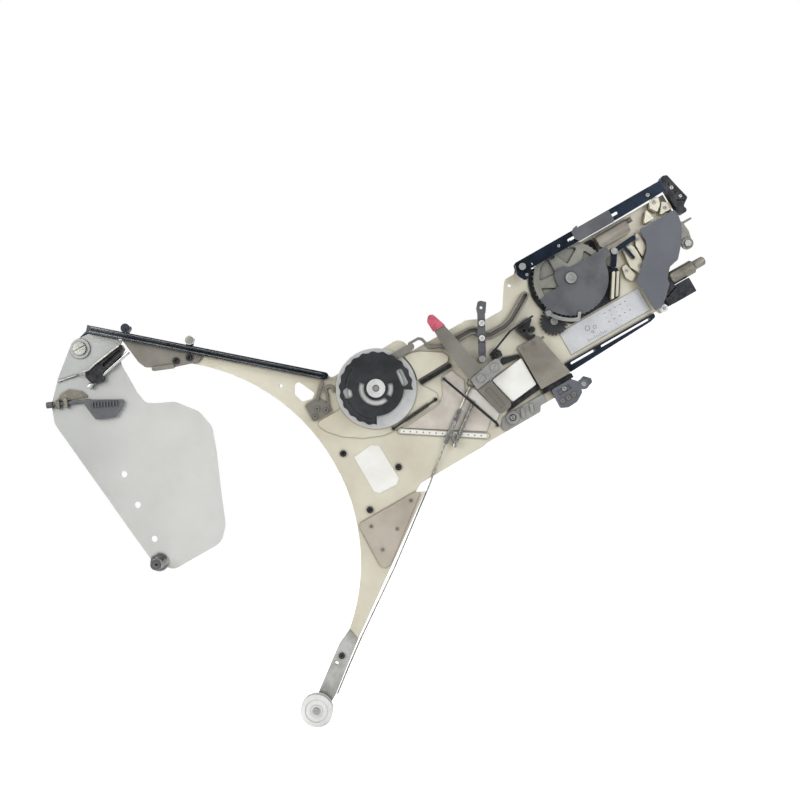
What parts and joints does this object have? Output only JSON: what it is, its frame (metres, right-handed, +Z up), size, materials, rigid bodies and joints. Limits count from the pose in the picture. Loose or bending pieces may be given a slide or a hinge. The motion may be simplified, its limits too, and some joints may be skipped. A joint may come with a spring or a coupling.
{
  "type": "smt tape feeder",
  "caption": "Mechanical feeder for 8 mm component tape: sprocket drum, take-up reel, release lever and a swinging reel guard between two arms on one plate.",
  "frame": {"origin": "on the locating pin's axis, in the middle of its straight nose", "axes": "+X along the feeder towards its head and the way the pin points, +Z up as the feeder stands in its machine, -Y out of the side that carries the mechanism"},
  "size_m": [0.5724, 0.0203, 0.401],
  "materials": {
    "nickel_plate": "satin electroless nickel on milled aluminium",
    "satin_steel": "satin rolled steel sheet",
    "polished_steel": "polished steel",
    "black_oxide": "black oxide steel",
    "grey_steel": "grey bead-blasted steel",
    "champagne": "champagne anodised aluminium",
    "slate_paint": "slate satin paint",
    "blue_black": "blued steel",
    "black_plastic": "moulded acetal",
    "red_plastic": "soft red vinyl grip",
    "turned_aluminium": "turned aluminium",
    "rose_steel": "warm satin steel"
  },
  "bodies": {
    "frame": {"main_plate": "nickel_plate", "lower_arm": "nickel_plate", "splice_plate": "champagne", "tail_arm": "satin_steel", "plate_screws": "black_oxide", "cover_screws": "grey_steel", "pivot_pins": "polished_steel", "axles": "polished_steel", "top_rail": "polished_steel", "end_bracket": "grey_steel", "hinge_lug": "grey_steel", "takeup_cover": "nickel_plate", "takeup_link": "black_oxide", "entry_guide": "grey_steel", "tape_guide": "grey_steel", "wedge_cover": "nickel_plate", "sub_plate": "rose_steel", "black_bars": "black_oxide", "lever_bracket": "grey_steel", "pull_wire": "grey_steel", "block_cover": "champagne", "polished_covers": "polished_steel", "guide_brackets": "black_oxide", "bottom_bracket": "nickel_plate", "clamp_block": "slate_paint", "bottom_rail": "blue_black", "head_housing": "turned_aluminium", "drum_cover": "grey_steel", "head_plates": "nickel_plate", "nose_block": "black_oxide", "nose_cover": "slate_paint", "spring_barrel": "champagne", "locating_pin": "polished_steel", "foot_block": "blue_black"},
    "reel_guard": {"guard_plate": "satin_steel", "reel_spindle": "polished_steel", "brake_hinge": "grey_steel", "latch_block": "black_oxide", "latch_spring": "polished_steel"},
    "brake": {"brake_pad": "grey_steel"},
    "bolt": {"latch_bolt": "polished_steel"},
    "takeup_reel": {"takeup_core": "turned_aluminium", "takeup_flange": "black_plastic"},
    "drum": {"sprocket": "satin_steel", "hub_gear": "satin_steel"},
    "drive_pinion": {"pinion": "black_plastic"},
    "lever": {"release_lever": "grey_steel", "lever_grip": "red_plastic"},
    "pull": {"pull_rods": "grey_steel"},
    "strip": {"strip_lever": "blue_black"},
    "hook": {"clamp_hook": "slate_paint"},
    "check": {"check_pawl": "satin_steel"},
    "rocker": {"feed_rocker": "blue_black"},
    "tape_arm": {"top_guide": "blue_black", "shutter_block": "black_oxide"},
    "slide_block": {"slider": "grey_steel"},
    "tail_wheel": {"tail_roller": "turned_aluminium"},
    "rail_wheel": {"rail_roller": "turned_aluminium"},
    "foot_wheel": {"foot_roller": "turned_aluminium"},
    "latch_lever": {"nose_latch": "satin_steel"}
  },
  "joints": [
    {"name": "guard_swing", "type": "hinge", "parent": "frame", "child": "reel_guard", "pos_m": [-0.503, 0.0063, 0.202], "axis": [0, 1, 0], "range_deg": [0, 75]},
    {"name": "brake_lift", "type": "hinge", "parent": "reel_guard", "child": "brake", "pos_m": [-0.552, 0.0033, 0.173], "axis": [-0.9191, 0, 0.3939], "range_deg": [0, 30]},
    {"name": "bolt_slide", "type": "slide", "parent": "reel_guard", "child": "bolt", "axis": [0.9782, 0, 0.2075], "range_m": [-0.006, 0]},
    {"name": "takeup_spin", "type": "hinge", "parent": "frame", "child": "takeup_reel", "pos_m": [-0.296, -0.002, 0.044], "axis": [0, 1, 0], "continuous": true},
    {"name": "drum_spin", "type": "hinge", "parent": "frame", "child": "drum", "pos_m": [-0.103, 0, 0.0435], "axis": [0, 1, 0], "continuous": true},
    {"name": "pinion_spin", "type": "hinge", "parent": "frame", "child": "drive_pinion", "pos_m": [-0.13326, 0.0015, 0.01811], "axis": [0, 1, 0], "continuous": true},
    {"name": "lever_swing", "type": "hinge", "parent": "frame", "child": "lever", "pos_m": [-0.2135, -0.0054, 0.007], "axis": [0, -1, 0], "range_deg": [0, 15]},
    {"name": "pull_slide", "type": "slide", "parent": "frame", "child": "pull", "axis": [0.8, 0, 0.6], "range_m": [-0.0012, 0]},
    {"name": "strip_swing", "type": "hinge", "parent": "frame", "child": "strip", "pos_m": [-0.204, -0.005, 0.0205], "axis": [0, 1, 0], "range_deg": [0, 15]},
    {"name": "hook_swing", "type": "hinge", "parent": "frame", "child": "hook", "pos_m": [-0.1385, -0.0005, -0.0415], "axis": [0, -1, 0], "range_deg": [0, 30]},
    {"name": "check_swing", "type": "hinge", "parent": "frame", "child": "check", "pos_m": [-0.135, -0.006, 0.0265], "axis": [0, 1, 0], "range_deg": [0, 6]},
    {"name": "rocker_swing", "type": "hinge", "parent": "frame", "child": "rocker", "pos_m": [-0.059, -0.003, 0.045], "axis": [0, 1, 0], "range_deg": [-4, 4]},
    {"name": "tape_arm_lift", "type": "hinge", "parent": "frame", "child": "tape_arm", "pos_m": [-0.135, -0.002, 0.0725], "axis": [0, -1, 0], "range_deg": [0, 40]},
    {"name": "shutter_slide", "type": "slide", "parent": "tape_arm", "child": "slide_block", "axis": [1, 0, 0], "range_m": [-0.006, 0.006]},
    {"name": "tail_spin", "type": "hinge", "parent": "frame", "child": "tail_wheel", "pos_m": [-0.478, -0.001, -0.172], "axis": [0, 1, 0], "continuous": true},
    {"name": "rail_spin", "type": "hinge", "parent": "frame", "child": "rail_wheel", "pos_m": [-0.41528, -0.002, 0.15994], "axis": [0, 1, 0], "continuous": true},
    {"name": "foot_spin", "type": "hinge", "parent": "frame", "child": "foot_wheel", "pos_m": [-0.0455, 0, -0.0192], "axis": [0, 1, 0], "continuous": true},
    {"name": "latch_swing", "type": "hinge", "parent": "frame", "child": "latch_lever", "pos_m": [0.0005, 0.001, 0.0195], "axis": [0, 1, 0], "range_deg": [0, 20]}
  ],
  "couplings": [
    {"joint": "pinion_spin", "follows": "drum_spin", "ratio": -2.4348},
    {"joint": "pull_slide", "follows": "lever_swing", "m_per_rad": -0.00393}
  ]
}
